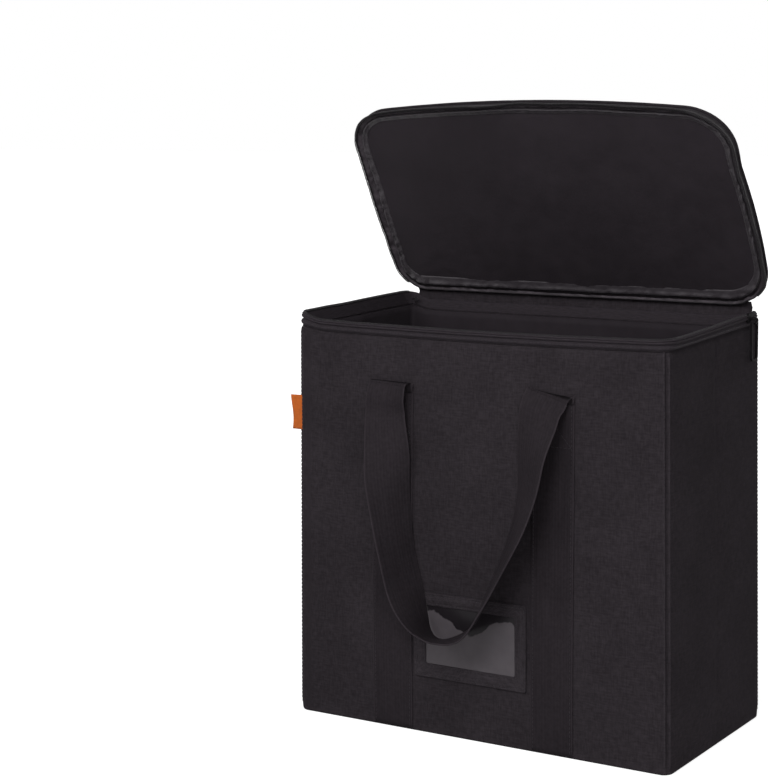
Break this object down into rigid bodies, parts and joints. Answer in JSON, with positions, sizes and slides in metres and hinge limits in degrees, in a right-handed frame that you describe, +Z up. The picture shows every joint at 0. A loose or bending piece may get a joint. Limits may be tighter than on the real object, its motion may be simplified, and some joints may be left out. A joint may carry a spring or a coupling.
{
  "type": "record carrying case",
  "caption": "Upright soft-sided cloth carrying case for 12-inch records, with a zipped hinged lid, webbing strap handles front and back, a clear label pocket and a side tag.",
  "frame": {"origin": "on the floor, under the middle of the case's bottom", "axes": "+X to the right of the front panel, +Y to the back, +Z up"},
  "size_m": [0.3632, 0.2642, 0.5184],
  "materials": {
    "outer_cloth": "black woven oxford cloth",
    "lining_cloth": "smooth black lining cloth",
    "webbing": "black ribbed webbing",
    "zip_tape": "black zip tape",
    "zip_teeth": "black coil",
    "zip_metal": "black satin",
    "clear_window": "clear glossy film",
    "tag_cloth": "orange woven ribbon",
    "stiffener": "plain board"
  },
  "bodies": {
    "case": {"front_cloth": "outer_cloth", "back_cloth": "outer_cloth", "left_cloth": "outer_cloth", "right_cloth": "outer_cloth", "bottom_cloth": "outer_cloth", "back_right_corner_seam": "outer_cloth", "back_left_corner_seam": "outer_cloth", "front_left_corner_seam": "outer_cloth", "front_right_corner_seam": "outer_cloth", "front_board": "stiffener", "back_board": "stiffener", "left_board": "stiffener", "right_board": "stiffener", "base_board": "stiffener", "front_lining": "lining_cloth", "back_lining": "lining_cloth", "left_lining": "lining_cloth", "right_lining": "lining_cloth", "bottom_lining": "lining_cloth", "rim_band": "zip_tape", "rim_zip_teeth": "zip_teeth", "rim_seam_piping": "outer_cloth", "lid_hinge_strip": "outer_cloth", "left_zip_end_stop": "zip_teeth", "right_zip_end_stop": "zip_teeth", "front_left_strap": "webbing", "front_right_strap": "webbing", "back_left_strap": "webbing", "back_right_strap": "webbing", "label_pocket_backing": "outer_cloth", "label_window": "clear_window", "label_pocket_frame": "outer_cloth", "side_tag": "tag_cloth"},
    "lid": {"lid_lining": "lining_cloth", "lid_board": "stiffener", "lid_cloth": "outer_cloth", "lid_zip_tape": "zip_tape", "lid_zip_teeth": "zip_teeth", "lid_edge_piping": "outer_cloth", "lid_seam_binding": "zip_tape", "lid_hinge_flap": "outer_cloth"},
    "front_grip": {"front_handle": "webbing"},
    "back_grip": {"back_handle": "webbing"},
    "left_slider": {"left_zip_slider": "zip_metal"},
    "right_slider": {"right_zip_slider": "zip_metal"},
    "left_pull": {"left_zip_pull": "zip_metal"},
    "right_pull": {"right_zip_pull": "zip_metal"}
  },
  "joints": [
    {"name": "lid_hinge", "type": "hinge", "parent": "case", "child": "lid", "pos_m": [0, 0.091, 0.3543], "axis": [-1, 0, 0], "range_deg": [-62, 138]},
    {"name": "front_handle_swing", "type": "hinge", "parent": "case", "child": "front_grip", "pos_m": [0, -0.0943, 0.2984], "axis": [1, 0, 0], "range_deg": [-160, 0]},
    {"name": "back_handle_swing", "type": "hinge", "parent": "case", "child": "back_grip", "pos_m": [0, 0.0943, 0.2984], "axis": [-1, 0, 0], "range_deg": [-160, 0]},
    {"name": "left_slider_run", "type": "slide", "parent": "case", "child": "left_slider", "axis": [0, -1, 0], "range_m": [0, 0.12]},
    {"name": "right_slider_run", "type": "slide", "parent": "case", "child": "right_slider", "axis": [0, -1, 0], "range_m": [0, 0.12]},
    {"name": "left_pull_swing", "type": "hinge", "parent": "left_slider", "child": "left_pull", "pos_m": [-0.1784, 0.066, 0.34655], "axis": [0, 1, 0], "range_deg": [0, 170]},
    {"name": "right_pull_swing", "type": "hinge", "parent": "right_slider", "child": "right_pull", "pos_m": [0.1784, 0.066, 0.34655], "axis": [0, -1, 0], "range_deg": [0, 170]}
  ]
}
